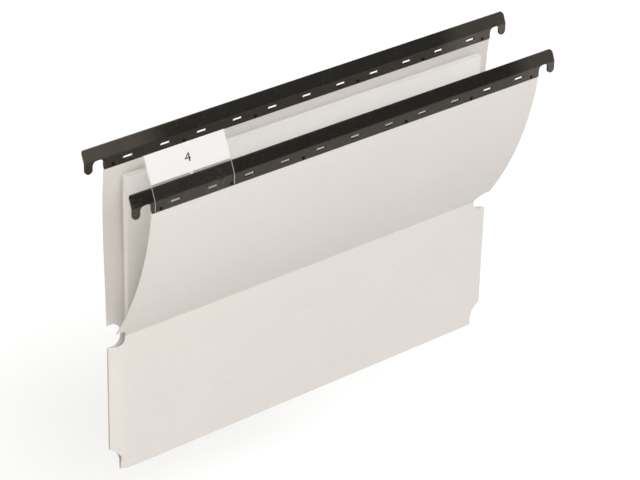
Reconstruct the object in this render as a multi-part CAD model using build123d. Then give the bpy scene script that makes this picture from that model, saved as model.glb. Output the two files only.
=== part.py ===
"""Hanging file folder: a scored card blank hung from two folded steel rails.

The rear rail and panels hang straight down. The front upper panel stands out in an arc, so that its
rail is in front of the rear one and a little lower. A clear index tab with its label is pushed into
two slots of the front rail, and a sheaf of paper stands in the pocket.
"""

import os
from math import cos, degrees, radians, sin, tan

from build123d import *

# X runs along the rails, +Y backward and +Z up, in millimetres. The origin is the middle of the rear
# rail, at the height where its hooks sit on a rack.

# Card blank
card_width = 318.0
card_thickness = 0.4
upper_panel_height = 119.2
lower_panel_height = 102.1
crease_lean = 36.1
rail_lean = 10.0
rail_sweep_radius = 50.0
crease_gap = 0.3
crease_notch_depth = 10.4
crease_notch_height = 8.0
crease_notch_corner = 6.5
fold_notch_depth = 7.8
fold_notch_height = 18.3
fold_notch_corner = 12.0

# Rails, each a steel strip folded double over the card's edge
rail_leaf = 0.5
grip_clearance = 0.03
card_stop = 0.8
flange_height = 7.6
band_height = 8.5
band_lean = 22.5
bend_radius = 2.0
hook_notch_width = 8.4
lug_width = 5.6
notch_corner = 3.0
rail_end_corner = 3.0
flange_corner = 0.8
outline_margin = 0.2
slot_pitch = 28.2
slot_length = 7.8
slot_height = 2.0
slot_end_margin = 14.0
dimple_radius = 1.4
dimple_depth = 0.4
dimple_rise = 1.7
dimple_end_margin = 6.8

# Index tab and its label
tab_width = 60.0
tab_height = 28.4
tab_wall = 0.45
tab_floor = 1.2
tab_clearance = 0.2
tab_lift = 1.0
tongue_clearance = 0.25
tongue_proud = 0.5
label_thickness = 0.25
label_clearance = 0.1
label_inset = 0.2

# Sheaf of paper, about A4 on its side
sheet_width = 293.0
sheet_height = 211.0
sheaf_thickness = 3.5
sheaf_clearance = 0.3
sheaf_shift = 0.9

# Worked out from the sizes above
card_half = card_width / 2
rail_half = card_half + hook_notch_width + lug_width
grip_half = card_thickness / 2 + grip_clearance
flange_half = grip_half + rail_leaf
fold_centre = band_height - flange_half
lean = radians(band_lean)
crease_z = -flange_height - upper_panel_height
bottom_z = crease_z - lower_panel_height
sheaf_back = -flange_half - sheaf_clearance
sheaf_front = sheaf_back - sheaf_thickness
front_panel_y = sheaf_front - sheaf_clearance - card_thickness / 2
fold_radius = -front_panel_y / 2
fold_z = bottom_z + fold_radius + card_thickness / 2
foot_angle = radians(crease_lean)
head_angle = radians(rail_lean)
bulge_radius = (upper_panel_height - rail_sweep_radius * head_angle) / (foot_angle - head_angle)
head_y = front_panel_y - bulge_radius * (cos(head_angle) - cos(foot_angle))
head_z = crease_z + bulge_radius * (sin(foot_angle) - sin(head_angle))
front_rail_y = head_y - rail_sweep_radius * (1 - cos(head_angle))
front_rail_z = head_z + rail_sweep_radius * sin(head_angle) + flange_height
slot_z = -flange_height / 2
slots_each_side = int((card_half - slot_end_margin) / slot_pitch)
slot_places = [index * slot_pitch for index in range(-slots_each_side, slots_each_side + 1)]
front_rail_place = Pos(0, front_rail_y, front_rail_z)


def extrude_along_x(section, length):
    """Solid of a section drawn in Y and Z, centred on X = 0."""
    return extrude(Plane.YZ * section, amount=length / 2, both=True)


def extrude_along_y(outline, depth):
    """Solid of an outline drawn in X and Z, centred on Y = 0."""
    return extrude(Plane.XZ * outline, amount=depth / 2, both=True)


def band_point(offset, reach):
    """Point of a rail's section, behind the leaning band's middle line and up along it from the bend."""
    return (reach * sin(lean) + offset * cos(lean), reach * cos(lean) - offset * sin(lean))


def bent_line(offset, low, reach):
    """Line beside a rail's middle line: up the flange, round the bend and along the leaning band."""
    bend = (offset, -offset * tan(lean / 2))
    return FilletPolyline((offset, low), bend, band_point(offset, reach), radius=bend_radius - offset)


def hairpin(half, low):
    """Section of a strip folded over at the top: both sides of the middle line, with a round fold."""
    front = bent_line(-half, low, fold_centre)
    rear = bent_line(half, low, fold_centre)
    fold = ThreePointArc(
        band_point(-half, fold_centre), band_point(0, fold_centre + half), band_point(half, fold_centre)
    )
    foot = Line((-half, low), (half, low))
    return make_face([front, fold, rear, foot])


def rail_outline():
    """Front view of a rail: a long plate with a hook notch and a lug at each end."""
    top = fold_centre * cos(lean) + flange_half + outline_margin
    lug_inner = rail_half - lug_width
    lug_corner = lug_width / 2 - outline_margin
    corners = [
        (rail_half, top, rail_end_corner),
        (rail_half, -flange_height, lug_corner),
        (lug_inner, -flange_height, lug_corner),
        (lug_inner, 0, notch_corner),
        (card_half, 0, notch_corner),
        (card_half, -flange_height, flange_corner),
    ]
    corners += [(-x, z, radius) for x, z, radius in reversed(corners)]
    points = [(x, z) for x, z, radius in corners]
    return make_face(FilletPolyline(*points, radius=[radius for x, z, radius in corners], close=True))


def slot_cutters():
    """Punches for the row of tab slots, through both leaves of a rail and the card between them."""
    outlines = [Pos(x, slot_z) * SlotOverall(slot_length, slot_height) for x in slot_places]
    return [extrude_along_y(outline, 2 * flange_half + slot_height) for outline in outlines]


def dimple_cutters():
    """Round dimples in the front leaf where it is clinched to the card, between pairs of slots."""
    ball = (dimple_radius**2 + dimple_depth**2) / (2 * dimple_depth)
    y = -flange_half - ball + dimple_depth
    z = -flange_height + dimple_rise
    end = card_half - dimple_end_margin
    places = [(step + 0.5) * slot_pitch for step in range(1, slots_each_side - 1, 2)] + [end]
    return [Pos(side * x, y, z) * Sphere(ball) for x in places for side in (-1, 1)]


def make_rail():
    """Steel strip folded double, bent back along its length, with hooks, slots and dimples."""
    section = hairpin(flange_half, -flange_height) - hairpin(grip_half, -flange_height - outline_margin)
    strip = extrude_along_x(section, 2 * (rail_half + outline_margin))
    plate = extrude_along_y(rail_outline(), 4 * band_height)
    return (strip & plate) - slot_cutters() - dimple_cutters()


def panel_blank(low, high):
    """Flat upright card panel between two heights."""
    return Pos(0, (low + high) / 2) * Rectangle(card_width, high - low)


def crease_notch():
    """Relief notch at the end of a crease, drawn on both sides of the crease and of the card's edge."""
    return RectangleRounded(2 * crease_notch_depth, 2 * crease_notch_height, crease_notch_corner)


def crease_notches():
    """Relief notches at both ends of a crease."""
    return [Pos(side * card_half, crease_z) * crease_notch() for side in (-1, 1)]


def fold_notches():
    """Relief notches at both ends of the bottom fold, rounded at their inner upper corner."""
    notches = []
    for side in (-1, 1):
        inner = side * (card_half - fold_notch_depth)
        outer = side * (card_half + fold_notch_corner)
        top = bottom_z + fold_notch_height
        low = bottom_z - fold_notch_depth
        corners = [(inner, low), (inner, top), (outer, top), (outer, low)]
        edge = FilletPolyline(*corners, radius=[0, fold_notch_corner, 0, 0], close=True)
        notches.append(make_face(edge))
    return notches


def make_rear_upper_panel():
    """Card from the rear crease up into the rear rail."""
    outline = panel_blank(crease_z + crease_gap / 2, -card_stop) - crease_notches()
    return extrude_along_y(outline, card_thickness) - slot_cutters()


def make_lower_panel(foot):
    """Card between a crease and the bottom fold, ending at the height of its foot."""
    outline = panel_blank(foot, crease_z - crease_gap / 2) - crease_notches() - fold_notches()
    return extrude_along_y(outline, card_thickness)


def make_bottom_fold():
    """Half round bend that joins the two lower panels under the sheaf."""
    outer = fold_radius + card_thickness / 2
    inner = fold_radius - card_thickness / 2
    ring = Pos(-fold_radius, fold_z) * (Circle(outer) - Circle(inner))
    lower_half = Pos(-fold_radius, fold_z - outer / 2) * Rectangle(2 * outer, outer)
    return extrude_along_x(ring & lower_half, card_width - 2 * fold_notch_depth)


def front_panel_line(offset):
    """Line behind the front upper panel's middle: two arcs, then straight up into the rail."""
    bulge_y = front_panel_y + bulge_radius * cos(foot_angle)
    bulge_z = crease_z + bulge_radius * sin(foot_angle)
    sweep_centre = (front_rail_y + rail_sweep_radius, front_rail_z - flange_height)
    crease_trim = degrees(crease_gap / 2 / bulge_radius)
    bulge_sweep = rail_lean - crease_lean + crease_trim
    bulge_start = 180 + crease_lean - crease_trim
    bulge = CenterArc((bulge_y, bulge_z), bulge_radius - offset, bulge_start, bulge_sweep)
    sweep = CenterArc(sweep_centre, rail_sweep_radius - offset, 180 + rail_lean, -rail_lean)
    rise = Line(sweep @ 1, (front_rail_y + offset, front_rail_z - card_stop))
    return [bulge, sweep, rise]


def make_front_upper_panel():
    """Card that leaves the front crease leaning forward and curves up into the front rail."""
    front_face = front_panel_line(-card_thickness / 2)
    rear_face = front_panel_line(card_thickness / 2)
    foot = Line(front_face[0] @ 0, rear_face[0] @ 0)
    head = Line(front_face[-1] @ 1, rear_face[-1] @ 1)
    panel = extrude_along_x(make_face(front_face + [head] + rear_face + [foot]), card_width)
    square_to_crease = Rot(X=crease_lean - 90)
    for side in (-1, 1):
        corner = Pos(side * card_half, front_panel_y, crease_z)
        panel -= corner * square_to_crease * extrude(crease_notch(), amount=crease_notch_height, both=True)
    return panel - [front_rail_place * cutter for cutter in slot_cutters()]


def tab_rear_offset():
    """Rear face of the tab's front wall, just clear of the rail's front leaf."""
    return -flange_half - tab_clearance


def label_reach():
    """Lower and upper edge of the label, along the leaning band from the bend."""
    return (band_height + tab_clearance + tab_floor + label_clearance, tab_height - label_inset)


def band_slab(front, rear, low, high):
    """Section of a flat wall in the leaning part of the tab."""
    corners = [(front, low), (rear, low), (rear, high), (front, high)]
    return make_face(Polyline(*[band_point(*corner) for corner in corners], close=True))


def tab_x():
    """Middle of the tab, half way between the first two slots."""
    return slot_places[0] + slot_pitch / 2


def make_label_tab():
    """Clear holder: a front wall down over the rail, a label pocket above it and two tongues."""
    rear = tab_rear_offset()
    front = rear - tab_wall
    low = -flange_height + tab_lift
    front_line = bent_line(front, low, tab_height)
    rear_line = bent_line(rear, low, tab_height)
    ends = [Line(front_line @ 0, rear_line @ 0), Line(front_line @ 1, rear_line @ 1)]
    pocket_back = rear + label_thickness + 2 * label_clearance
    floor_low = band_height + tab_clearance
    section = make_face([front_line, rear_line] + ends)
    section += band_slab(rear - tab_wall / 2, pocket_back + tab_wall, floor_low, floor_low + tab_floor)
    section += band_slab(pocket_back, pocket_back + tab_wall, floor_low, tab_height)
    tab = Pos(tab_x(), 0, 0) * extrude_along_x(section, tab_width)
    tongue_start = rear - tab_wall / 2
    tongue_end = flange_half + tongue_proud
    outline = SlotOverall(slot_length - 2 * tongue_clearance, slot_height - 2 * tongue_clearance)
    tongue = extrude_along_y(outline, tongue_end - tongue_start)
    for x in slot_places[:2]:
        tab += Pos(x, (tongue_start + tongue_end) / 2, slot_z) * tongue
    return front_rail_place * tab


def make_index_label():
    """Card slip in the tab's pocket."""
    front = tab_rear_offset() + label_clearance
    low, high = label_reach()
    section = band_slab(front, front + label_thickness, low, high)
    slip = Pos(tab_x(), 0, 0) * extrude_along_x(section, tab_width - 2 * label_inset)
    return front_rail_place * slip


def make_paper_sheaf():
    """Squared up sheets standing in the mouth of the bottom fold."""
    middle = (sheaf_shift, (sheaf_back + sheaf_front) / 2, fold_z + sheet_height / 2)
    return Pos(*middle) * Box(sheet_width, sheaf_thickness, sheet_height)


rail = make_rail()
nodes = {
    "rear_rail": rail,
    "front_rail": front_rail_place * rail,
    "rear_upper_panel": make_rear_upper_panel(),
    "rear_lower_panel": make_lower_panel(fold_z),
    "bottom_fold": make_bottom_fold(),
    "front_lower_panel": Pos(0, front_panel_y, 0) * make_lower_panel(fold_z + crease_gap),
    "front_upper_panel": make_front_upper_panel(),
    "label_tab": make_label_tab(),
    "index_label": make_index_label(),
    "paper_sheaf": make_paper_sheaf(),
}

os.makedirs("parts", exist_ok=True)
for name, shape in nodes.items():
    export_step(shape, f"parts/{name}.step")
    size = shape.bounding_box().size
    print(f"{name}: {len(shape.solids())} solid, {size.X:.2f} x {size.Y:.2f} x {size.Z:.2f} mm")
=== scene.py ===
# %% [markdown]
# # A hanging file folder
# A hanging file folder is one scored sheet of card, hung from two folded steel rails. A clear index tab
# is pushed into the front rail, and a sheaf of paper stands in the pocket. The rails, the tab and the
# label come ready from the CAD frame. The card and the paper are thin sheets, which look better when
# they are cut flat and then bent, so this lesson makes them afresh around the same frame.

# %% Load the frame
from math import acos, cos, pi, radians, sin

import bmesh
import bpy
from mathutils import Matrix, Vector


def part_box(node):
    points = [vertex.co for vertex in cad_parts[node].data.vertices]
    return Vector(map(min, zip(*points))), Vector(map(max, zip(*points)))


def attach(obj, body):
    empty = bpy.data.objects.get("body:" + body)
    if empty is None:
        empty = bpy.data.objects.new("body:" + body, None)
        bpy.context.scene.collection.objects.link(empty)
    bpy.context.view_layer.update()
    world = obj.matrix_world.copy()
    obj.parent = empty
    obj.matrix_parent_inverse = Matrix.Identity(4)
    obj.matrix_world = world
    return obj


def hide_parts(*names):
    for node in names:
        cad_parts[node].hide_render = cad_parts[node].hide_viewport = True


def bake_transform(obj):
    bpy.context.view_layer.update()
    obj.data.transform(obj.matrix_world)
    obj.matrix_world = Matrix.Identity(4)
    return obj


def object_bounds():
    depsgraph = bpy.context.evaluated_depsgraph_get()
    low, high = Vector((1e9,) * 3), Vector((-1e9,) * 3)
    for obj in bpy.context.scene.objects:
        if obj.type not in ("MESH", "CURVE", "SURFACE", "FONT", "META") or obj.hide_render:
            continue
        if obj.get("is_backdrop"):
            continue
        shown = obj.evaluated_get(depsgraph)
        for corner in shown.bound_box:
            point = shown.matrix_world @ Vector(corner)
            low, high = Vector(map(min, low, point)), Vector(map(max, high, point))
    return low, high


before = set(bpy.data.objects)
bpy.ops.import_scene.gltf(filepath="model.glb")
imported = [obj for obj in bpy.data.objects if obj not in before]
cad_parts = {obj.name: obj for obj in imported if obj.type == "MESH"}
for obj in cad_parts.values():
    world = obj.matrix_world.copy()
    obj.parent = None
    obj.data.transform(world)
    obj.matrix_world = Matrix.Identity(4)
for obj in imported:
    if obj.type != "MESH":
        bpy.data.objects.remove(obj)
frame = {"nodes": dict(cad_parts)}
cad_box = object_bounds()
print("nodes:", ", ".join(frame["nodes"]))

# %% [markdown]
# ## Sizes that the frame gives
# Each new piece has to meet the rails and the folds exactly. Those places could be typed in again, but
# that invites mistakes, so they are measured on the frame's own nodes. What a box cannot tell, such as a
# notch's radius or the angle at which a panel leaves its crease, is written down where it is first needed.

# %% Measure the frame
MM = 0.001
rear_panel_low, rear_panel_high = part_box("rear_upper_panel")
rear_lower_low, rear_lower_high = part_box("rear_lower_panel")
front_lower_low, front_lower_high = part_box("front_lower_panel")
rear_rail_low, rear_rail_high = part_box("rear_rail")
front_rail_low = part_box("front_rail")[0]
sheaf_low, sheaf_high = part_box("paper_sheaf")
card_half = rear_panel_high.x
card_thickness = rear_panel_high.y - rear_panel_low.y
crease_gap = rear_panel_low.z - rear_lower_high.z
crease_z = (rear_panel_low.z + rear_lower_high.z) / 2
rear_y = (rear_panel_low.y + rear_panel_high.y) / 2
front_y = (front_lower_low.y + front_lower_high.y) / 2
front_foot_z = front_lower_low.z
fold_z = rear_lower_low.z
bottom_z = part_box("bottom_fold")[0].z
rail_step = front_rail_low - rear_rail_low
front_rail_y = rear_y + rail_step.y
print(f"card {2 * card_half / MM:.1f} mm wide and {card_thickness / MM:.2f} mm thick")
print(f"crease at {crease_z / MM:.2f} mm, bottom fold at {fold_z / MM:.2f} mm")
print(f"front rail at {front_rail_y / MM:.2f} mm")

# %% [markdown]
# ## Nodes
# Finishes and Geometry Nodes are both trees of nodes. They could be drawn by hand in Blender's editors, but
# a script draws them again exactly. Three small helpers serve both kinds of tree: one feeds a socket, one
# adds a node with all its inputs, and one calculates with two values.

# %% Helpers for nodes
def feed(tree, socket, value):
    """Joins a socket to another one, or sets it to a plain value."""
    if isinstance(value, bpy.types.NodeSocket):
        tree.links.new(value, socket)
    else:
        socket.default_value = value


def add_node(tree, kind, settings=None, **inputs):
    """Node with its settings and its inputs, whose names have _ in place of a space."""
    node = tree.nodes.new(kind)
    for setting, value in (settings or {}).items():
        setattr(node, setting, value)
    for name, value in inputs.items():
        feed(tree, node.inputs[name.replace("_", " ")], value)
    return node


def calculate(tree, operation, first, second=0.0):
    """Sum, product, larger one or other result of one or two values."""
    node = add_node(tree, "ShaderNodeMath", {"operation": operation})
    feed(tree, node.inputs[0], first)
    feed(tree, node.inputs[1], second)
    return node.outputs[0]


print("made the helpers feed, add_node and calculate")

# %% [markdown]
# ## Finishes
# Every finish here is a small tree of nodes around one Principled shader. Pictures of card or paint could
# be laid on instead, but a picture repeats and has one size. Noise on the piece's own Object coordinates
# has neither fault, and it stands for what the eye expects of each stuff: fibres in card, tooth in paper,
# a faint orange peel in paint.

# %% Helpers for finishes
most_of_a_noise = (0.3, 0.7)


def new_finish(name, roughness):
    """Material with its node tree, its Principled shader and its Object coordinates."""
    material = bpy.data.materials.new(name)
    material.use_nodes = True
    tree = material.node_tree
    shader = tree.nodes["Principled BSDF"]
    shader.inputs["Roughness"].default_value = roughness
    return material, tree, shader, add_node(tree, "ShaderNodeTexCoord").outputs["Object"]


def noise(tree, place, size, detail=2.0, stretch=(1, 1, 1)):
    """Noise whose grains are about that size in metres, longer along an axis with a small stretch."""
    stretched = add_node(tree, "ShaderNodeMapping", Vector=place, Scale=stretch).outputs["Vector"]
    grains = add_node(tree, "ShaderNodeTexNoise", Vector=stretched, Scale=1 / size, Detail=detail)
    return grains.outputs["Fac"]


def spread(tree, value, over=most_of_a_noise, to=(0, 1)):
    """Value that crosses one range as the given value crosses another."""
    ranges = {"From_Min": over[0], "From_Max": over[1], "To_Min": to[0], "To_Max": to[1]}
    return add_node(tree, "ShaderNodeMapRange", Value=value, **ranges).outputs["Result"]


def tint(tree, factor, first, second):
    """Colour mixed from two colours, or from a colour made before and a new one."""
    mix = add_node(tree, "ShaderNodeMix", {"data_type": "RGBA"}, Factor=factor)
    colour_inputs = [socket for socket in mix.inputs if socket.type == "RGBA"]
    for socket, colour in zip(colour_inputs, (first, second)):
        feed(tree, socket, colour if isinstance(colour, bpy.types.NodeSocket) else (*colour, 1))
    return next(socket for socket in mix.outputs if socket.type == "RGBA")


def add_bump(tree, shader, height, depth):
    """Fine relief of that depth in metres on the shader's normal."""
    bump = add_node(tree, "ShaderNodeBump", Strength=1, Distance=depth, Height=height)
    feed(tree, shader.inputs["Normal"], bump.outputs["Normal"])


def dress(piece, finish):
    """Gives a piece one finish in place of what it had."""
    piece.data.materials.clear()
    piece.data.materials.append(finish)


print("made the helpers new_finish, noise, spread, tint, add_bump and dress")

# %% [markdown]
# ### Card
# Folder card is smooth, pale and warm grey. Seen close, it has short fibres, a few darker flecks from the
# pulp and a cloudiness as wide as a hand. Each of them is a noise of its own size, laid over the one
# before. All three are kept faint, because at arm's length the card looks even. Along the crease a fine
# darker line is painted in: painted shade where the scored card dips.

# %% Card finish
cloud_size, fibre_size, fleck_size, tooth_size = 60 * MM, 0.8 * MM, 1.6 * MM, 0.6 * MM
card_relief = 0.012 * MM
# Width and fade of the painted shade along the crease.
crease_shade_core, crease_shade_reach = 0.2 * MM, 0.7 * MM
cloud_colours = (0.748, 0.718, 0.687), (0.770, 0.740, 0.709)
fibre_colour = (0.710, 0.678, 0.640)
fleck_colour = (0.53, 0.47, 0.40)
crease_shade_colour = (0.60, 0.565, 0.525)
card_finish, tree, shader, place = new_finish("folder_card", roughness=0.72)
clouds = spread(tree, noise(tree, place, cloud_size))
fibre_noise = noise(tree, place, fibre_size, detail=4, stretch=(1, 1, 0.35))
fibres = spread(tree, fibre_noise, over=(0.35, 0.7), to=(0, 0.5))
fleck_noise = noise(tree, place, fleck_size, detail=1, stretch=(0.5, 1, 1))
flecks = spread(tree, fleck_noise, over=(0.71, 0.78), to=(0, 0.24))
height = add_node(tree, "ShaderNodeSeparateXYZ", Vector=place).outputs["Z"]
from_crease = calculate(tree, "ABSOLUTE", calculate(tree, "SUBTRACT", height, crease_z))
# Painted shade: a fine darker line along the crease, where the scored card dips.
crease_shade_mask = spread(tree, from_crease, over=(crease_shade_core, crease_shade_reach), to=(0.6, 0))
fibrous = tint(tree, fibres, tint(tree, clouds, *cloud_colours), fibre_colour)
flecked = tint(tree, flecks, fibrous, fleck_colour)
feed(tree, shader.inputs["Base Color"], tint(tree, crease_shade_mask, flecked, crease_shade_colour))
tooth = noise(tree, place, tooth_size, detail=5, stretch=(1, 1, 0.5))
add_bump(tree, shader, tooth, depth=card_relief)
print("made", card_finish.name, "with", len(tree.nodes), "nodes")

# %% [markdown]
# ### Paper
# The sheets and the label are white copy paper, too matt to mirror anything. Plain white would look like
# plastic, so one fine noise makes the tooth of the paper, both as relief and as a little less white in the
# hollows. Both papers come from the same function, because only their whiteness differs.

# %% Paper finishes
paper_tooth = 0.5 * MM
paper_relief = 0.008 * MM


def make_paper(name, white, hollow):
    """Matt paper with a fine tooth."""
    material, tree, shader, place = new_finish(name, roughness=0.85)
    tooth = noise(tree, place, paper_tooth, detail=4)
    raised = spread(tree, tooth, over=(0.35, 0.65))
    feed(tree, shader.inputs["Base Color"], tint(tree, raised, hollow, white))
    add_bump(tree, shader, tooth, depth=paper_relief)
    return material


sheet_paper = make_paper("sheet_paper", white=(0.910, 0.895, 0.876), hollow=(0.885, 0.870, 0.851))
label_paper = make_paper("white_label_paper", white=(0.825, 0.825, 0.820), hollow=(0.800, 0.800, 0.795))
print("made", sheet_paper.name, "and", label_paper.name)

# %% [markdown]
# ### Rail paint
# The rails are steel with a gloss black paint. Towards the ends a lighter, browner black is painted in, a
# painted reflection of what those ends face. It could be painted on by hand, but a range along the rail is
# enough to say where it lies, and a noise breaks it into patches.

# %% Where the rails' ends get a painted reflection
# Ranges along the rails where a painted reflection lightens the paint towards the ends.
rear_left_reflection, rear_right_reflection = (-108 * MM, -136 * MM), (110 * MM, 134 * MM)
front_right_reflection = (132 * MM, 152 * MM)
between_rails, band_foot = (-30 * MM, -10 * MM), (-1 * MM, 1 * MM)
patch_size = 14 * MM
rail_paint, tree, shader, place = new_finish("gloss_black_paint", roughness=0.3)
along, through, upward = add_node(tree, "ShaderNodeSeparateXYZ", Vector=place).outputs
on_rear_rail = spread(tree, through, over=between_rails)
on_upper_band = spread(tree, upward, over=band_foot)
left_end = spread(tree, along, over=rear_left_reflection, to=(0.16, 1))
left_end = calculate(tree, "MULTIPLY", left_end, on_upper_band)
right_end = spread(tree, along, over=rear_right_reflection)
rear_ends = calculate(tree, "MULTIPLY", calculate(tree, "MAXIMUM", left_end, right_end), on_rear_rail)
front_end = spread(tree, along, over=front_right_reflection)
patches = spread(tree, noise(tree, place, patch_size, detail=3), to=(0.85, 1))
end_reflection = calculate(tree, "MULTIPLY", calculate(tree, "MAXIMUM", rear_ends, front_end), patches)
print("made", len(tree.nodes), "nodes that find the dull ends")

# %% [markdown]
# A paint film this thin follows the rolled steel, so it has a slight orange peel and is not evenly glossy.
# Where the hooks ride on a rack it is rubbed a little grey, in scratches that run along the rail.

# %% Rail paint
blacks = (0.0120, 0.0125, 0.0112), (0.0145, 0.0150, 0.0138)
# Lighter, browner black of the painted reflection at the ends.
reflection_brown = (0.056, 0.051, 0.045)
rubbed_grey = (0.080, 0.074, 0.068)
scratch_size, speckle_size, gloss_size, peel_size = 1.2 * MM, 6 * MM, 9 * MM, 1.1 * MM
hook_margin = 1 * MM
peel_relief = 0.002 * MM
from_middle = calculate(tree, "ABSOLUTE", along)
hook_zone = spread(tree, from_middle, over=(card_half + hook_margin, rear_rail_high.x))
scratch_noise = noise(tree, place, scratch_size, detail=5, stretch=(0.3, 1, 1))
scratches = spread(tree, scratch_noise, over=(0.5, 0.72), to=(0, 0.6))
rubbed = calculate(tree, "MULTIPLY", hook_zone, scratches)
speckle = spread(tree, noise(tree, place, speckle_size, detail=4))
# Painted reflection: the speckled black turns lighter and browner towards the ends.
speckled_black_and_reflection = tint(tree, end_reflection, tint(tree, speckle, *blacks), reflection_brown)
feed(tree, shader.inputs["Base Color"], tint(tree, rubbed, speckled_black_and_reflection, rubbed_grey))
gloss = spread(tree, noise(tree, place, gloss_size, detail=4), to=(0.22, 0.28))
feed(tree, shader.inputs["Roughness"], gloss)
shader.inputs["Specular IOR Level"].default_value = 0.45
shader.inputs["Specular Tint"].default_value = (1, 0.80, 0.60, 1)
shader.inputs["Coat Weight"].default_value = 0.12
shader.inputs["Coat Roughness"].default_value = 0.12
add_bump(tree, shader, noise(tree, place, peel_size), depth=peel_relief)
for rail in ("rear_rail", "front_rail"):
    dress(frame["nodes"][rail], rail_paint)
print("painted the rails with", rail_paint.name)

# %% [markdown]
# ### Clear plastic
# The tab is moulded from thin clear plastic. It could be shaded as glass, but light would then have to pass
# through several thin walls, so an almost clear Alpha is used. Light gathers at the cut ends of such
# plastic, which is why they show as bright lines. These are painted highlights: the finish turns white and
# less clear in the last fraction of a millimetre at each end.

# %% Clear plastic: haze and painted highlights at the ends
end_highlight_start, end_highlight_full = 0.3 * MM, 0.05 * MM
haze_size = 5 * MM
tab_low, tab_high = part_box("label_tab")
tab_middle = (tab_low.x + tab_high.x) / 2
tab_half = (tab_high.x - tab_low.x) / 2
clear_plastic, tree, shader, place = new_finish("clear_plastic", roughness=0.08)
along = add_node(tree, "ShaderNodeSeparateXYZ", Vector=place).outputs["X"]
from_middle = calculate(tree, "ABSOLUTE", calculate(tree, "SUBTRACT", along, tab_middle))
# Painted highlight: the last fraction of a millimetre at each cut end turns white and less clear.
end_highlight = spread(tree, from_middle, over=(tab_half - end_highlight_start, tab_half - end_highlight_full))
haze = spread(tree, noise(tree, place, haze_size, detail=3), to=(0.004, 0.006))
print(f"tab is {2 * tab_half / MM:.1f} mm wide, its middle at {tab_middle / MM:.1f} mm")

# %% [markdown]
# The slip rests on a floor across the tab's pocket. Seen edge on, clear plastic that thick looks grey, so
# that floor is a thin line of painted shade, with a bright dot in its middle. Both are found by their
# height along the leaning tab.

# %% Clear plastic: pocket floor
band_lean = radians(22.5)
band_upward = Vector((0, sin(band_lean), cos(band_lean)))
label_low, label_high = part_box("index_label")
label_middle = (label_low + label_high) / 2
label_thickness = 0.25 * MM
label_rise = (label_high.z - label_low.z - label_thickness * sin(band_lean)) / cos(band_lean)
label_foot = label_middle.dot(band_upward) - label_rise / 2
floor_thickness, floor_blur = 1.2 * MM, 0.2 * MM
floor_foot = label_foot - floor_thickness
middle_dot_radius, middle_dot_rim = 0.7 * MM, 1.0 * MM
lengthwise = add_node(tree, "ShaderNodeVectorMath", {"operation": "DOT_PRODUCT"}, Vector=place)
lengthwise.inputs[1].default_value = band_upward
height = lengthwise.outputs["Value"]
# Painted shade: the pocket floor's edge is drawn as a thin grey line.
below_label = spread(tree, height, over=(label_foot - floor_blur, label_foot), to=(1, 0))
above_foot = spread(tree, height, over=(floor_foot - floor_blur, floor_foot))
pocket_floor_shade = calculate(tree, "MULTIPLY", below_label, above_foot)
# A bright white dot in the middle of the pocket floor's line.
near_middle = spread(tree, from_middle, over=(middle_dot_radius, middle_dot_rim), to=(1, 0))
middle_dot = calculate(tree, "MULTIPLY", near_middle, pocket_floor_shade)
print(f"label stands at {label_foot / MM:.1f} mm along the tab")

# %% Clear plastic: join and dress
# The grey is painted shade on the pocket floor's edge; the white is for the painted highlights at the cut
# ends and the middle dot.
plain, floor_shade_grey, bright_white = (0.80, 0.79, 0.79), (0.22, 0.22, 0.22), (0.95, 0.95, 0.96)
cover = haze
for mark, strength in ((end_highlight, 0.5), (pocket_floor_shade, 0.3), (middle_dot, 0.8)):
    cover = calculate(tree, "MAXIMUM", cover, calculate(tree, "MULTIPLY", mark, strength))
feed(tree, shader.inputs["Alpha"], cover)
bright = calculate(tree, "MAXIMUM", end_highlight, middle_dot)
floor_shaded = tint(tree, pocket_floor_shade, plain, floor_shade_grey)
feed(tree, shader.inputs["Base Color"], tint(tree, bright, floor_shaded, bright_white))
shader.inputs["Specular IOR Level"].default_value = 0.2
dress(frame["nodes"]["label_tab"], clear_plastic)
dress(frame["nodes"]["index_label"], label_paper)
print("cleared the tab and papered the label")

# %% [markdown]
# ## The card blank
# The real card is punched flat, scored, and only then folded. It could be modelled bent from the start, but
# the same order works here: each panel is cut as a flat mesh with its notches, and a Geometry Nodes tree
# bends it along a line drawn in side view. The tree keeps every length along the line, so the card is bent
# and never stretched. The front panel's line is a wide bulge that sweeps upright into its rail.

# %% Front panel in side view
def arc_points(centre, radius, start, end, steps):
    """Points on an arc, from one angle to another."""
    angles = [start + (end - start) * step / steps for step in range(steps + 1)]
    return [(centre[0] + radius * cos(angle), centre[1] + radius * sin(angle)) for angle in angles]


crease_lean = radians(36.1)
rail_lean = radians(10)
rail_sweep_radius = 50 * MM
rail_grip = 2 * MM
front_flange_z = front_rail_low.z
sweep_rise = rail_sweep_radius * sin(rail_lean)
bulge_radius = (front_flange_z - crease_z - sweep_rise) / (sin(crease_lean) - sin(rail_lean))
bulge_centre = (front_y + bulge_radius * cos(crease_lean), crease_z + bulge_radius * sin(crease_lean))
sweep_centre = (front_rail_y + rail_sweep_radius, front_flange_z)
bulge = arc_points(bulge_centre, bulge_radius, pi + crease_lean, pi + rail_lean, steps=60)
sweep = arc_points(sweep_centre, rail_sweep_radius, pi + rail_lean, pi, steps=8)
front_upper_line = bulge + sweep[1:] + [(front_rail_y, front_flange_z + rail_grip)]
print(f"front panel bends on a radius of {bulge_radius / MM:.1f} mm")

# %% [markdown]
# The rear panel hangs straight down with a slight bow. Its curve is t * t * (1 - t), which starts level at
# the crease, and whose highest value is 4 / 27. The rear lower panel takes the bottom fold with it, so its
# line begins with half a circle.

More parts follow.
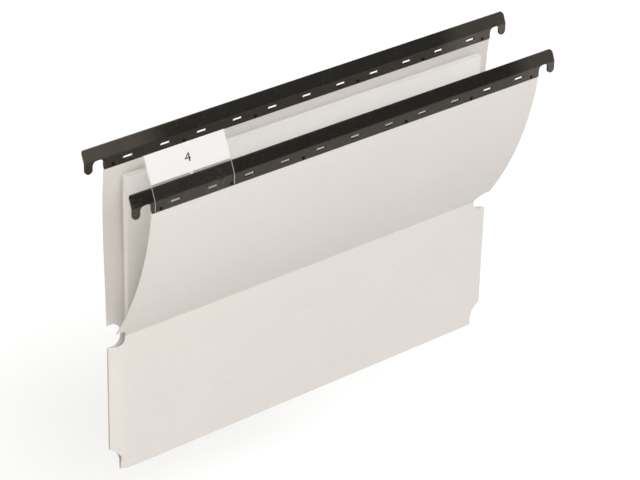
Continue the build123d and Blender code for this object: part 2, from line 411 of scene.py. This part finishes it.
# %% Rear panel, fold and lower panels in side view
rear_bow = 2.0 * MM
bow_peak = 4 / 27
rear_steps = 40
rear_flange_z = rear_rail_low.z
rear_rise = rear_flange_z - crease_z
shares = [step / rear_steps for step in range(rear_steps + 1)]
bow = [rear_bow / bow_peak * t**2 * (1 - t) for t in shares]
rear_upper_line = [(rear_y + back, crease_z + rear_rise * t) for t, back in zip(shares, bow)]
rear_upper_line += [(rear_y, rear_flange_z + rail_grip)]
fold_radius = (rear_y - front_y) / 2
fold = arc_points((front_y + fold_radius, fold_z), fold_radius, pi, 2 * pi, steps=32)
rear_lower_line = fold + [(rear_y, crease_z)]
front_lower_line = [(front_y, front_foot_z), (front_y, crease_z)]
print(f"rear panel bows by {max(bow) / MM:.2f} mm, the fold has a radius of {fold_radius / MM:.2f} mm")

# %% [markdown]
# ### Relief notches
# A notch at each end of a crease, and of the bottom fold, keeps the card from tearing where it bends. The
# notches could be cut from the bent panel with a Boolean modifier, but that leaves ragged edges on thin,
# curved card. In the flat they are only a few more points of the outline.

# %% Flat notches
crease_notch_depth = 10.4 * MM
crease_notch_height = 8 * MM
crease_notch_corner = 6.5 * MM
fold_notch_depth = 7.8 * MM
fold_notch_height = 18.3 * MM
fold_notch_corner = 12 * MM
corner_steps = 12


def crease_notch(corner_radius):
    """Half of a crease's relief notch: from its deep end up and out to the card's edge."""
    inner = card_half - crease_notch_depth
    corner = (inner + corner_radius, crease_notch_height - corner_radius)
    rounding = arc_points(corner, corner_radius, pi, pi / 2, corner_steps)
    return [(inner, crease_gap / 2)] + rounding + [(card_half, crease_notch_height)]


def fold_notch(top):
    """A fold's relief notch: straight up, then rounded out to the card's edge."""
    inner = card_half - fold_notch_depth
    corner = (inner + fold_notch_corner, top - fold_notch_corner)
    at_edge = acos(fold_notch_depth / fold_notch_corner - 1)
    return [(inner, 0)] + arc_points(corner, fold_notch_corner, pi, at_edge, corner_steps)


print(f"notch depth: crease {crease_notch_depth / MM:.1f} mm, fold {fold_notch_depth / MM:.1f} mm")

# %% Flat outlines
def mirrored(right_side):
    """Closed outline from its right side, listed upwards."""
    return right_side + [(-x, s) for x, s in reversed(right_side)]


def upper_outline(top):
    """Upper panel: rounder relief notches at the crease, straight edges above."""
    rounder = crease_notch_height - crease_gap
    return mirrored(crease_notch(rounder) + [(card_half, top)])


def lower_outline(notch_top, crease):
    """Lower panel: relief notches at the fold below and at the crease above."""
    upper_notch = [(x, crease - s) for x, s in reversed(crease_notch(crease_notch_corner))]
    return mirrored(fold_notch(notch_top) + upper_notch)


def line_length(line):
    """Length of a line of points."""
    return sum((Vector(b) - Vector(a)).length for a, b in zip(line, line[1:]))


notch_z = bottom_z + fold_notch_height
blanks = {
    "rear_upper_card": upper_outline(line_length(rear_upper_line)),
    "front_upper_card": upper_outline(line_length(front_upper_line)),
    "rear_lower_card": lower_outline(line_length(fold) + notch_z - fold_z, line_length(rear_lower_line)),
    "front_lower_card": lower_outline(notch_z - front_foot_z, line_length(front_lower_line)),
}
for name, outline in blanks.items():
    print(f"{name}: {len(outline)} outline points, {max(s for x, s in outline) / MM:.1f} mm high when flat")

# %% [markdown]
# ### Slices
# A flat outline has to be sliced before it can bend, as a blind is. A grid could be laid over it and its
# outer squares deleted, but the notches would then have steps. Cutting with parallel planes keeps them
# exact. The slices are narrow past the ends of the sheaf, where the card will bend most.

# %% Where the card is sliced
def even_cuts(low, high, step):
    """Places that share a length out evenly, about one step apart."""
    count = max(1, round((high - low) / step))
    return [low + (high - low) * index / count for index in range(1, count)]


sheet_slip = 0.35 * MM
left_closing_start = sheet_slip - sheaf_low.x
right_closing_start = sheet_slip + sheaf_high.x
edge_slice, middle_slice = 1.5 * MM, 10 * MM
card_columns = even_cuts(-card_half, -left_closing_start, edge_slice)
card_columns += even_cuts(-left_closing_start, right_closing_start, middle_slice)
card_columns += even_cuts(right_closing_start, card_half, edge_slice)
print(f"{len(card_columns)} cuts across the card")

# %% Cut a flat blank
left_closed_y = rear_y - card_thickness
right_closed_y = front_y + card_thickness
same_point = 0.05 * MM


def put_in_scene(name, data):
    """New object at the origin, with that mesh, curve, lamp or camera."""
    thing = bpy.data.objects.new(name, data)
    bpy.context.scene.collection.objects.link(thing)
    return thing


def cut_blank(name, outline, row_step, closing):
    """Flat mesh object in X and Z with that outline, sliced both ways, with its closing at every point."""
    cutter = bmesh.new()
    cutter.faces.new([cutter.verts.new((x, 0, s)) for x, s in outline])
    rows = even_cuts(min(s for x, s in outline), max(s for x, s in outline), row_step)
    for axis, cuts in ((Vector((1, 0, 0)), card_columns), (Vector((0, 0, 1)), rows)):
        for cut in cuts:
            everything = cutter.verts[:] + cutter.edges[:] + cutter.faces[:]
            bmesh.ops.bisect_plane(cutter, geom=everything, plane_co=axis * cut, plane_no=axis)
    bmesh.ops.remove_doubles(cutter, verts=cutter.verts[:], dist=same_point)
    many_sided = [face for face in cutter.faces if len(face.verts) > 4]
    bmesh.ops.triangulate(cutter, faces=many_sided)
    mesh = bpy.data.meshes.new(name)
    cutter.to_mesh(mesh)
    cutter.free()
    closing_share = mesh.attributes.new("closing", "FLOAT", "POINT")
    closed_y = mesh.attributes.new("closed_y", "FLOAT", "POINT")
    for vertex, share, target in zip(mesh.vertices, closing_share.data, closed_y.data):
        share.value = closing(vertex.co.x, vertex.co.z)
        target.value = left_closed_y if vertex.co.x < 0 else right_closed_y
    return put_in_scene(name, mesh)


print(f"edges would close at {left_closed_y / MM:.2f} mm left and {right_closed_y / MM:.2f} mm right")

# %% [markdown]
# ### Free edges
# Past the sheaf nothing holds the two sides of the pocket apart, so the free edges of the card close up. On
# the left the front panel bends back to the rear one, and on the right the rear panel comes forward. A
# cloth simulation could find this, but a share at each point of the flat blank is quicker and always the
# same: nothing where the paper stands, most of the way at the edge.

# %% How far an edge closes
edge_share = 0.85
fold_share = 0.7
fold_fade = 13 * MM
rear_fade = 60 * MM


def smooth(value, start, end):
    """Soft step from 0 to 1."""
    t = min(1, max(0, (value - start) / (end - start)))
    return t * t * (3 - 2 * t)


def edge_closing(outward, start):
    """Closing of a free edge, from nothing beside the sheaf."""
    return edge_share * max(0, (outward - start) / (card_half - start)) ** 2


def fold_closing(x, above_fold):
    """Closing of the bottom fold at its left end, which fades out above the fold."""
    fold_end = card_half - fold_notch_depth
    return fold_share * smooth(-x, left_closing_start, fold_end) * (1 - smooth(above_fold, 0, fold_fade))


print(f"edges close {edge_share:.0%} of the way over {(card_half - left_closing_start) / MM:.1f} mm")

# %% Closing of each panel
def rear_upper_closing(x, s):
    """The rear panel's right edge, which opens again well above its crease."""
    return edge_closing(x, right_closing_start) * (1 - smooth(s, 0, rear_fade))


def rear_lower_closing(x, s):
    """The rear panel's right edge, and the bottom fold below the panel."""
    return max(edge_closing(x, right_closing_start), fold_closing(x, s - line_length(fold)))


def front_lower_closing(x, s):
    """The front panel's left edge, which lies straight at its crease."""
    below_crease = line_length(front_lower_line) - s
    edge = edge_closing(-x, left_closing_start) * smooth(below_crease, 0, crease_notch_height)
    return max(edge, fold_closing(x, s))


def no_closing(x, s):
    """A panel that stays open."""
    return 0


closings = {
    "rear_upper_card": rear_upper_closing,
    "front_upper_card": no_closing,
    "rear_lower_card": rear_lower_closing,
    "front_lower_card": front_lower_closing,
}
print("closing edges:", ", ".join(name for name, closing in closings.items() if closing != no_closing))

# %% [markdown]
# ### The bending tree
# The bending tree reads each point's height on the flat blank, finds the place that far along the side
# view line, and moves the point there. A Simple Deform modifier could bend a panel too, but only to one
# radius. All trees in this lesson end alike, so one helper starts a tree and one ends it.

# %% Start and end a Geometry Nodes tree
def new_tree(name, inputs):
    """Empty Geometry Nodes tree with named inputs; returns it, its inputs and the socket of its result."""
    tree = bpy.data.node_groups.new(name, "GeometryNodeTree")
    tree.interface.new_socket("Geometry", in_out="OUTPUT", socket_type="NodeSocketGeometry")
    for label, kind in inputs.items():
        tree.interface.new_socket(label, in_out="INPUT", socket_type=f"NodeSocket{kind}")
    return tree, tree.nodes.new("NodeGroupInput").outputs, tree.nodes.new("NodeGroupOutput").inputs[0]


def end_tree(tree, geometry, finish, result):
    """Makes copies into real faces, gives them their finish and hands them out."""
    whole = add_node(tree, "GeometryNodeRealizeInstances", Geometry=geometry)
    dressed = add_node(tree, "GeometryNodeSetMaterial", Geometry=whole.outputs[0], Material=finish)
    feed(tree, result, dressed.outputs[0])


print("made the helpers new_tree and end_tree")

# %% Tree that bends the card: place on the line
bend_inputs = {
    "Geometry": "Geometry", "Line": "Object", "Ripple": "Float", "Seed": "Float", "Card": "Material",
}
bend_tree, given, result = new_tree("bend_card", bend_inputs)
tree = bend_tree
position = add_node(tree, "GeometryNodeInputPosition").outputs[0]
flat = add_node(tree, "ShaderNodeSeparateXYZ", Vector=position).outputs
side_view = add_node(tree, "GeometryNodeObjectInfo", Object=given["Line"]).outputs["Geometry"]
by_length = {"mode": "LENGTH", "use_all_curves": True}
spot = add_node(tree, "GeometryNodeSampleCurve", by_length, Curves=side_view, Length=flat["Z"])
bent = add_node(tree, "ShaderNodeSeparateXYZ", Vector=spot.outputs["Position"]).outputs
print("bend_card finds its place with", len(tree.nodes), "nodes")

# %% [markdown]
# A broad, faint ripple keeps the panel from looking like sheet metal. It fades out at both ends, so that
# the panel still meets its crease and its rail. The fade is t * (1 - t), over its highest value of 1 / 4.
# The closing of the free edges comes last, because it has to end in a known place whatever the ripple does.

# %% Tree that bends the card: ripple and closing
ripple_scale = 9.0
fade_peak = 1 / 4
full_length = add_node(tree, "GeometryNodeCurveLength", Curve=side_view).outputs[0]
share = calculate(tree, "DIVIDE", flat["Z"], full_length)
rest = calculate(tree, "SUBTRACT", 1.0, share)
fade = calculate(tree, "DIVIDE", calculate(tree, "MULTIPLY", share, rest), fade_peak)
ripple_place = add_node(tree, "ShaderNodeCombineXYZ", X=flat["X"], Y=given["Seed"], Z=flat["Z"]).outputs[0]
waves = add_node(tree, "ShaderNodeTexNoise", Vector=ripple_place, Scale=ripple_scale, Detail=0.0).outputs[0]
wave_height = calculate(tree, "MULTIPLY", calculate(tree, "SUBTRACT", waves, 0.5), given["Ripple"])
rippled = calculate(tree, "ADD", bent["Y"], calculate(tree, "MULTIPLY", wave_height, fade))
number_kind = {"data_type": "FLOAT"}
closing = add_node(tree, "GeometryNodeInputNamedAttribute", number_kind, Name="closing").outputs[0]
closed_y = add_node(tree, "GeometryNodeInputNamedAttribute", number_kind, Name="closed_y").outputs[0]
to_closed = calculate(tree, "SUBTRACT", closed_y, rippled)
closed = calculate(tree, "ADD", rippled, calculate(tree, "MULTIPLY", to_closed, closing))
target = add_node(tree, "ShaderNodeCombineXYZ", X=flat["X"], Y=closed, Z=bent["Z"]).outputs[0]
moved = add_node(tree, "GeometryNodeSetPosition", Geometry=given["Geometry"], Position=target)
end_tree(tree, moved.outputs[0], given["Card"], result)
print("bend_card has", len(tree.nodes), "nodes")

# %% [markdown]
# ### Bend and thicken
# So each blank is bent by the tree and thickened by a Solidify modifier, the result is read back as a
# mesh, and the modifiers are taken off again. The inputs of a tree are set by their identifiers, because
# two inputs may share a name.

# %% Run a tree and keep its result
sharp_angle = radians(35)


def run_tree(piece, tree, values):
    """Puts a Geometry Nodes tree on a piece, with the values of its inputs."""
    modifier = piece.modifiers.new(tree.name, "NODES")
    modifier.node_group = tree
    for socket in tree.interface.items_tree:
        if socket.in_out == "INPUT" and socket.name in values:
            modifier[socket.identifier] = values[socket.name]


def keep_result(piece):
    """Turns an object with modifiers into a plain mesh with smooth faces and crisp edges."""
    graph = bpy.context.evaluated_depsgraph_get()
    mesh = bpy.data.meshes.new_from_object(piece.evaluated_get(graph))
    piece.modifiers.clear()
    piece.data = mesh
    mesh.name = piece.name
    mesh.shade_smooth()
    mesh.set_sharp_from_angle(angle=sharp_angle)


def bend_blank(blank, line, thickness, ripple=0.0, seed=0.0):
    """Bends a flat blank along a line in side view and gives it its thickness."""
    curve = bpy.data.curves.new("side_view", "CURVE")
    curve.dimensions = "3D"
    spline = curve.splines.new("POLY")
    spline.points.add(len(line) - 1)
    for point, (y, z) in zip(spline.points, line):
        point.co = (0, y, z, 1)
    guide = put_in_scene("side_view", curve)
    run_tree(blank, bend_tree, {"Line": guide, "Ripple": ripple, "Seed": seed, "Card": card_finish})
    solid = blank.modifiers.new("thickness", "SOLIDIFY")
    solid.thickness = thickness
    solid.offset = 0
    keep_result(blank)
    bpy.data.objects.remove(guide)
    return blank


print("made the helpers run_tree, keep_result and bend_blank")

# %% Bend the four panels
panel_rows, fold_rows = 2.5 * MM, 1 * MM
panel_plan = [
    ("rear_upper_card", rear_upper_line, panel_rows, 0.5 * MM, "rear_half", ["rear_upper_panel"]),
    ("front_upper_card", front_upper_line, panel_rows, 1.2 * MM, "front_half", ["front_upper_panel"]),
    ("rear_lower_card", rear_lower_line, fold_rows, 0.0, "rear_lower", ["rear_lower_panel", "bottom_fold"]),
    ("front_lower_card", front_lower_line, panel_rows, 0.3 * MM, "front_lower", ["front_lower_panel"]),
]
for seed, (name, line, row_step, ripple, body, nodes) in enumerate(panel_plan):
    blank = cut_blank(name, blanks[name], row_step, closings[name])
    panel = bend_blank(blank, line, card_thickness, ripple, seed)
    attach(panel, body)
    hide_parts(*nodes)
    print(f"{name}: {len(panel.data.polygons)} faces, rides on {body}")

# %% [markdown]
# ## Score lines
# At each crease the card is pressed into a score line and stays in one piece. The panels are rigid here, so
# a crease would open as a gap when they turn. A narrow strip of the same card crosses each gap.

# %% Cut a strip for a crease
score_reach = 1.4 * MM
score_swelling = 0.06 * MM
score_thickness = card_thickness + score_swelling
score_steps = 12
score_rows = 10


def score_line(corner, lean):
    """Side view line up through a crease: straight, a tight bend, straight along the leaning panel."""
    below = Vector(corner) - Vector((0, score_reach))
    above = Vector(corner) + score_reach * Vector((-sin(lean), cos(lean)))
    shares = [step / score_steps for step in range(score_steps + 1)]
    return [tuple(below * (1 - t) ** 2 + 2 * Vector(corner) * t * (1 - t) + above * t**2) for t in shares]


def make_score(name, half_width, corner, lean, lower_body, upper_body, closing):
    """Card strip across one crease, between the two panels that meet there."""
    line = score_line(corner, lean)
    height = line_length(line)
    outline = [(-half_width, 0), (half_width, 0), (half_width, height), (-half_width, height)]
    strip = bend_blank(cut_blank(name, outline, height / score_rows, closing), line, score_thickness)
    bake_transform(strip)
    print(f"{name}: {len(strip.data.polygons)} faces between {lower_body} and {upper_body}")


print(f"a score strip reaches {score_reach / MM:.1f} mm to each side of its crease")

# %% Strips across the creases
strip_margin = 0.05 * MM
crease_half = card_half - crease_notch_depth - strip_margin
fold_half = card_half - fold_notch_depth
rear_corner = (rear_y, crease_z)
front_corner = (front_y, crease_z)
fold_corner = (front_y, (fold_z + front_foot_z) / 2)


def bottom_score_closing(x, s):
    """The front of the bottom fold closes with the fold."""
    return fold_closing(x, 0)


make_score("rear_score", crease_half, rear_corner, 0, "rear_lower", "rear_half", no_closing)
make_score("front_score", crease_half, front_corner, crease_lean, "front_lower", "front_half", no_closing)
make_score("bottom_score", fold_half, fold_corner, 0, "rear_lower", "front_lower", bottom_score_closing)

# %% [markdown]
# ## The sheaf of paper
# A sheaf is the same sheet many times over. An Array modifier could repeat it, but all copies would lie
# exactly in line. With Geometry Nodes one thin sheet is placed on a row of points, and each copy slips
# sideways by a hair.

# %% Tree that stacks sheets: row and slip
bends_per_sheet = 24
stack_inputs = {
    "Sheets": "Int", "Size": "Vector", "Pitch": "Float", "Foot": "Vector",
    "Slip": "Float", "Fan": "Float", "Seed": "Int", "Paper": "Material",
}
stack_tree, given, result = new_tree("stack_sheets", stack_inputs)
tree = stack_tree
sheet = add_node(tree, "GeometryNodeMeshCube", Size=given["Size"], Vertices_Z=bends_per_sheet).outputs[0]
forward_pitch = calculate(tree, "MULTIPLY", given["Pitch"], -1.0)
step = add_node(tree, "ShaderNodeCombineXYZ", Y=forward_pitch).outputs[0]
row = add_node(tree, "GeometryNodeMeshLine", Count=given["Sheets"], Offset=step).outputs[0]
copies = add_node(tree, "GeometryNodeInstanceOnPoints", Points=row, Instance=sheet).outputs[0]
left_slip = calculate(tree, "MULTIPLY", given["Slip"], -1.0)
slip_low = add_node(tree, "ShaderNodeCombineXYZ", X=left_slip).outputs[0]
slip_high = add_node(tree, "ShaderNodeCombineXYZ", X=given["Slip"], Z=given["Slip"]).outputs[0]
slip = add_node(
    tree, "FunctionNodeRandomValue", {"data_type": "FLOAT_VECTOR"},
    Min=slip_low, Max=slip_high, Seed=given["Seed"],
).outputs[0]
slipped = add_node(tree, "GeometryNodeTranslateInstances", Instances=copies, Translation=slip).outputs[0]
print("stack_sheets lays its row with", len(tree.nodes), "nodes")

# %% [markdown]
# Nothing holds the sheets at the top, so there they lean apart. Each sheet is numbered while it is still
# one copy. Once the copies are real faces, every point moves forward by its sheet's number and its own
# height.

# %% Tree that stacks sheets: fan
order = add_node(tree, "GeometryNodeInputIndex").outputs[0]
last = calculate(tree, "SUBTRACT", given["Sheets"], 1.0)
numbered = add_node(
    tree, "GeometryNodeStoreNamedAttribute", {"data_type": "FLOAT", "domain": "INSTANCE"},
    Geometry=slipped, Name="sheet_order", Value=calculate(tree, "DIVIDE", order, last),
)
loose = add_node(tree, "GeometryNodeRealizeInstances", Geometry=numbered.outputs[0]).outputs[0]
position = add_node(tree, "GeometryNodeInputPosition").outputs[0]
place = add_node(tree, "ShaderNodeSeparateXYZ", Vector=position).outputs
sizes = add_node(tree, "ShaderNodeSeparateXYZ", Vector=given["Size"]).outputs
rise = calculate(tree, "ADD", calculate(tree, "DIVIDE", place["Z"], sizes["Z"]), 0.5)
turn = add_node(tree, "GeometryNodeInputNamedAttribute", number_kind, Name="sheet_order").outputs[0]
lean = calculate(tree, "MULTIPLY", calculate(tree, "POWER", rise, 2.0), turn)
fan = calculate(tree, "MULTIPLY", calculate(tree, "MULTIPLY", lean, given["Fan"]), -1.0)
forward = add_node(tree, "ShaderNodeCombineXYZ", Y=fan).outputs[0]
fanned = add_node(tree, "GeometryNodeSetPosition", Geometry=loose, Offset=forward).outputs[0]
stood = add_node(tree, "GeometryNodeTransform", Geometry=fanned, Translation=given["Foot"])
end_tree(tree, stood.outputs[0], given["Paper"], result)
print("stack_sheets has", len(tree.nodes), "nodes")

# %% Stand the sheaf in the pocket
sheet_count = 28
sheet_fan = 0.9 * MM
sheet_seed = 4
paper_share = 0.96
sheet_pitch = (sheaf_high.y - sheaf_low.y) / sheet_count
sheet_size = Vector((sheaf_high.x - sheaf_low.x, paper_share * sheet_pitch, sheaf_high.z - sheaf_low.z))
sheaf_middle = (sheaf_low + sheaf_high) / 2
sheaf_foot = Vector((sheaf_middle.x, sheaf_high.y - sheet_pitch / 2, sheaf_middle.z))
sheaf = put_in_scene("sheaf_of_sheets", bpy.data.meshes.new("sheaf_of_sheets"))
run_tree(sheaf, stack_tree, {
    "Sheets": sheet_count, "Size": sheet_size, "Pitch": sheet_pitch, "Foot": sheaf_foot,
    "Slip": sheet_slip, "Fan": sheet_fan, "Seed": sheet_seed, "Paper": sheet_paper,
})
keep_result(sheaf)
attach(sheaf, "sheaf")
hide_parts("paper_sheaf")
print(f"sheaf_of_sheets: {sheet_count} sheets, {len(sheaf.data.polygons)} faces")

# %% [markdown]
# ## Clinch marks
# The press that closes a rail over the card pricks its front leaf in a few places, so that the steel bites
# into the card. Such a prick looks black, because hardly any light comes back out of it. Gloss paint cannot
# look like that, so a matt black disc of painted shade lies in each dimple. One tree puts the same disc on
# a row of points.

# %% Tree that sets marks in a row
mark_corners = 16
mark_inputs = {"Geometry": "Geometry", "Radius": "Float", "Thickness": "Float", "Finish": "Material"}
mark_tree, given, result = new_tree("clinch_marks", mark_inputs)
tree = mark_tree
disc = add_node(
    tree, "GeometryNodeMeshCylinder",
    Vertices=mark_corners, Radius=given["Radius"], Depth=given["Thickness"],
).outputs[0]
row = add_node(
    tree, "GeometryNodeInstanceOnPoints",
    Points=given["Geometry"], Instance=disc, Rotation=(pi / 2, 0, 0),
).outputs[0]
end_tree(tree, row, given["Finish"], result)
print("clinch_marks has", len(tree.nodes), "nodes")

# %% Matt black for the pricks
pit_blacks = (0.004, 0.004, 0.004), (0.010, 0.009, 0.008)
pit_mottle_size = 0.5 * MM
# Painted shade for the pricks: a matt near-black with a faint mottle.
pit_black, tree, shader, place = new_finish("pit_black", roughness=0.9)
pit_mottle = spread(tree, noise(tree, place, pit_mottle_size, detail=3), over=(0.35, 0.65))
feed(tree, shader.inputs["Base Color"], tint(tree, pit_mottle, *pit_blacks))
shader.inputs["Specular IOR Level"].default_value = 0.1
print("made", pit_black.name)

# %% Clinch marks in both rails
slot_pitch = 28.2 * MM
mark_end_margin = 6.8 * MM
mark_rise = 1.7 * MM
mark_radius = 1.15 * MM
mark_thickness = 0.2 * MM
mark_sink = 0.08 * MM
right_places = [1.5 * slot_pitch, 3.5 * slot_pitch, card_half - mark_end_margin]
mark_plan = [
    ("rear_clinch_marks", rear_rail_low, "rear_half"),
    ("front_clinch_marks", front_rail_low, "front_half"),
]
for name, low, body in mark_plan:
    mark_y = low.y + mark_sink + mark_thickness / 2
    spots = [(side * x, mark_y, low.z + mark_rise) for x in right_places for side in (-1, 1)]
    points = bpy.data.meshes.new(name)
    points.from_pydata(spots, [], [])
    marks = put_in_scene(name, points)
    run_tree(marks, mark_tree, {"Radius": mark_radius, "Thickness": mark_thickness, "Finish": pit_black})
    keep_result(marks)
    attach(marks, body)
    print(f"{name}: {len(spots)} marks, {len(marks.data.polygons)} faces")

# %% [markdown]
# ## The number on the label
# An index label carries one character. It could be part of the paper's finish, but then its edge would be
# only as sharp as the texture. A plain number is set in Blender's own font, made a mesh, and laid on the
# front of the slip, turned back by the same angle as the rail's upper band.

# %% Set the number
text = bpy.data.curves.new("index_number", "FONT")
text.body = "4"
text.align_x = "CENTER"
text_object = put_in_scene("index_number_text", text)
graph = bpy.context.evaluated_depsgraph_get()
number_mesh = bpy.data.meshes.new_from_object(text_object.evaluated_get(graph))
bpy.data.objects.remove(text_object)
corners = [vertex.co.copy() for vertex in number_mesh.vertices]
low = Vector(min(corner[axis] for corner in corners) for axis in range(3))
high = Vector(max(corner[axis] for corner in corners) for axis in range(3))
print(f"the number has {len(number_mesh.polygons)} faces")

# %% Lay the number on the label
number_height = 5.6 * MM
number_width_stretch = 1.25
number_thickness = 0.02 * MM
ink_blacks = (0.012, 0.012, 0.013), (0.03, 0.03, 0.03)
ink_grain = 0.4 * MM
ink, tree, shader, place = new_finish("black_ink", roughness=0.6)
wear = spread(tree, noise(tree, place, ink_grain, detail=3), over=(0.4, 0.75))
feed(tree, shader.inputs["Base Color"], tint(tree, wear, *ink_blacks))
scale = number_height / (high.y - low.y)
facing = Vector((0, -cos(band_lean), sin(band_lean)))
axes = Matrix((Vector((1, 0, 0)), band_upward, facing)).transposed().to_4x4()
seat = Matrix.Translation(label_middle + facing * (label_thickness / 2 + number_thickness))
stretch = Matrix.Diagonal((number_width_stretch * scale, scale, scale, 1))
number_mesh.transform(seat @ axes @ stretch @ Matrix.Translation(-(low + high) / 2))
number = put_in_scene("index_number", number_mesh)
dress(number, ink)
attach(number, "label")
print(f"index_number: {number_height / MM:.1f} mm high")

# %% [markdown]
# ## Floor
# The folder hangs a little above a pale floor, as it would in a drawer. More light would make the floor
# white, but it would also wash out the card. So the floor glows a little where it is looked at, straight,
# in a mirror or through clear plastic, and it keeps the folder's shadow.

# %% Floor
floor_drop = 0.12
floor_half = 30.0
floor_grey = (0.75, 0.75, 0.75, 1)
floor_glow = 0.18
floor_z = bottom_z - floor_drop
floor_signs = ((-1, -1), (1, -1), (1, 1), (-1, 1))
floor_corners = [(x * floor_half, y * floor_half, floor_z) for x, y in floor_signs]
floor_mesh = bpy.data.meshes.new("floor")
floor_mesh.from_pydata(floor_corners, [], [(0, 1, 2, 3)])
floor = put_in_scene("floor", floor_mesh)
floor_finish, tree, shader, place = new_finish("pale_floor", roughness=0.9)
shader.inputs["Base Color"].default_value = floor_grey
shader.inputs["Specular IOR Level"].default_value = 0
shader.inputs["Emission Color"].default_value = (1, 1, 1, 1)
rays = add_node(tree, "ShaderNodeLightPath").outputs
mirrored_or_through = calculate(tree, "MAXIMUM", rays["Is Glossy Ray"], rays["Is Transmission Ray"])
looked_at = calculate(tree, "MAXIMUM", rays["Is Camera Ray"], mirrored_or_through)
feed(tree, shader.inputs["Emission Strength"], calculate(tree, "MULTIPLY", looked_at, floor_glow))
dress(floor, floor_finish)
floor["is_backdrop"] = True
print("laid the floor", floor_drop, "m below the folder")

# %% [markdown]
# ## Light
# Two large soft lamps stand in front, one on each side of the camera. A warmer one to the left reaches into
# the open end of the pocket, a high one behind lights the back and shines down into the pocket, and a weak
# one overhead lights the floor. One bare sky would be simpler, but it would leave the folder flat.

# %% Light
white, warm = (1, 1, 1), (1, 0.91, 0.81)
sky_strength = 0.04


def soft_lamp(name, place, aim, size, power, colour=white):
    """Square soft lamp that faces a point."""
    lamp = bpy.data.lights.new(name, "AREA")
    lamp.size = size
    lamp.energy = power
    lamp.color = colour
    stand = put_in_scene(name, lamp)
    stand.location = place
    stand.rotation_euler = (Vector(aim) - Vector(place)).to_track_quat("-Z", "Y").to_euler()
    stand.visible_camera = False


middle = (cad_box[0] + cad_box[1]) / 2
soft_lamp("key_lamp", (-1.0, -1.9, 1.6), middle, size=1.3, power=31)
soft_lamp("right_lamp", (0.8, -1.9, 1.75), middle, size=1.3, power=24)
soft_lamp("overhead_lamp", (0.2, -0.6, 2.6), (0.2, -0.5, floor_z), size=2.2, power=8)
soft_lamp("left_lamp", (-2.2, -1.5, 0.7), middle, size=1.6, power=21, colour=warm)
soft_lamp("back_lamp", (0.4, 1.7, 2.0), middle, size=1.6, power=68)
world = bpy.data.worlds.new("studio")
bpy.context.scene.world = world
world.use_nodes = True
sky = world.node_tree.nodes["Background"]
sky.inputs["Color"].default_value = (*white, 1)
sky.inputs["Strength"].default_value = sky_strength
bpy.context.scene.view_settings.view_transform = "Standard"
print("lit the studio with", len(bpy.data.lights), "lamps")

# %% [markdown]
# ## Camera
# The camera stands to the left of the folder and above it, with a long lens from far away, so that the two
# rails stay almost parallel. Aiming it by eye would do for a sketch. Here its angles and its lens were
# worked out from the rows of slots and the edges of the card.

# %% Camera
azimuth, elevation, roll = radians(40.14), radians(29.07), radians(1.50)
camera_distance = 1.7593
camera_target = Vector((0.01445, 0, -0.11502))
focal_pixels, image_width, sensor_width = 2648.5, 640, 36
back = Vector((-sin(azimuth) * cos(elevation), -cos(azimuth) * cos(elevation), sin(elevation)))
level = (-back).cross(Vector((0, 0, 1))).normalized()
above = level.cross(-back)
right = cos(roll) * level + sin(roll) * above
upright = cos(roll) * above - sin(roll) * level
lens = bpy.data.cameras.new("camera")
lens.sensor_width = sensor_width
lens.lens = focal_pixels / image_width * sensor_width
camera = put_in_scene("camera", lens)
facing_folder = Matrix((right, upright, back)).transposed().to_4x4()
camera.matrix_world = Matrix.Translation(camera_target + back * camera_distance) @ facing_folder
bpy.context.scene.camera = camera
print(f"camera with a {lens.lens:.0f} mm lens, {camera_distance} m away")

# %% [markdown]
# ## Size of the dressed model
# The dressed model's box is printed beside the frame's own box.

# %% Finish
visual_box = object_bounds()
sizes = {"cad": [list(corner) for corner in cad_box], "visual": [list(corner) for corner in visual_box]}
print("frame box", [round(value / MM, 1) for value in cad_box[1] - cad_box[0]], "mm")
print("dressed box", [round(value / MM, 1) for value in visual_box[1] - visual_box[0]], "mm")
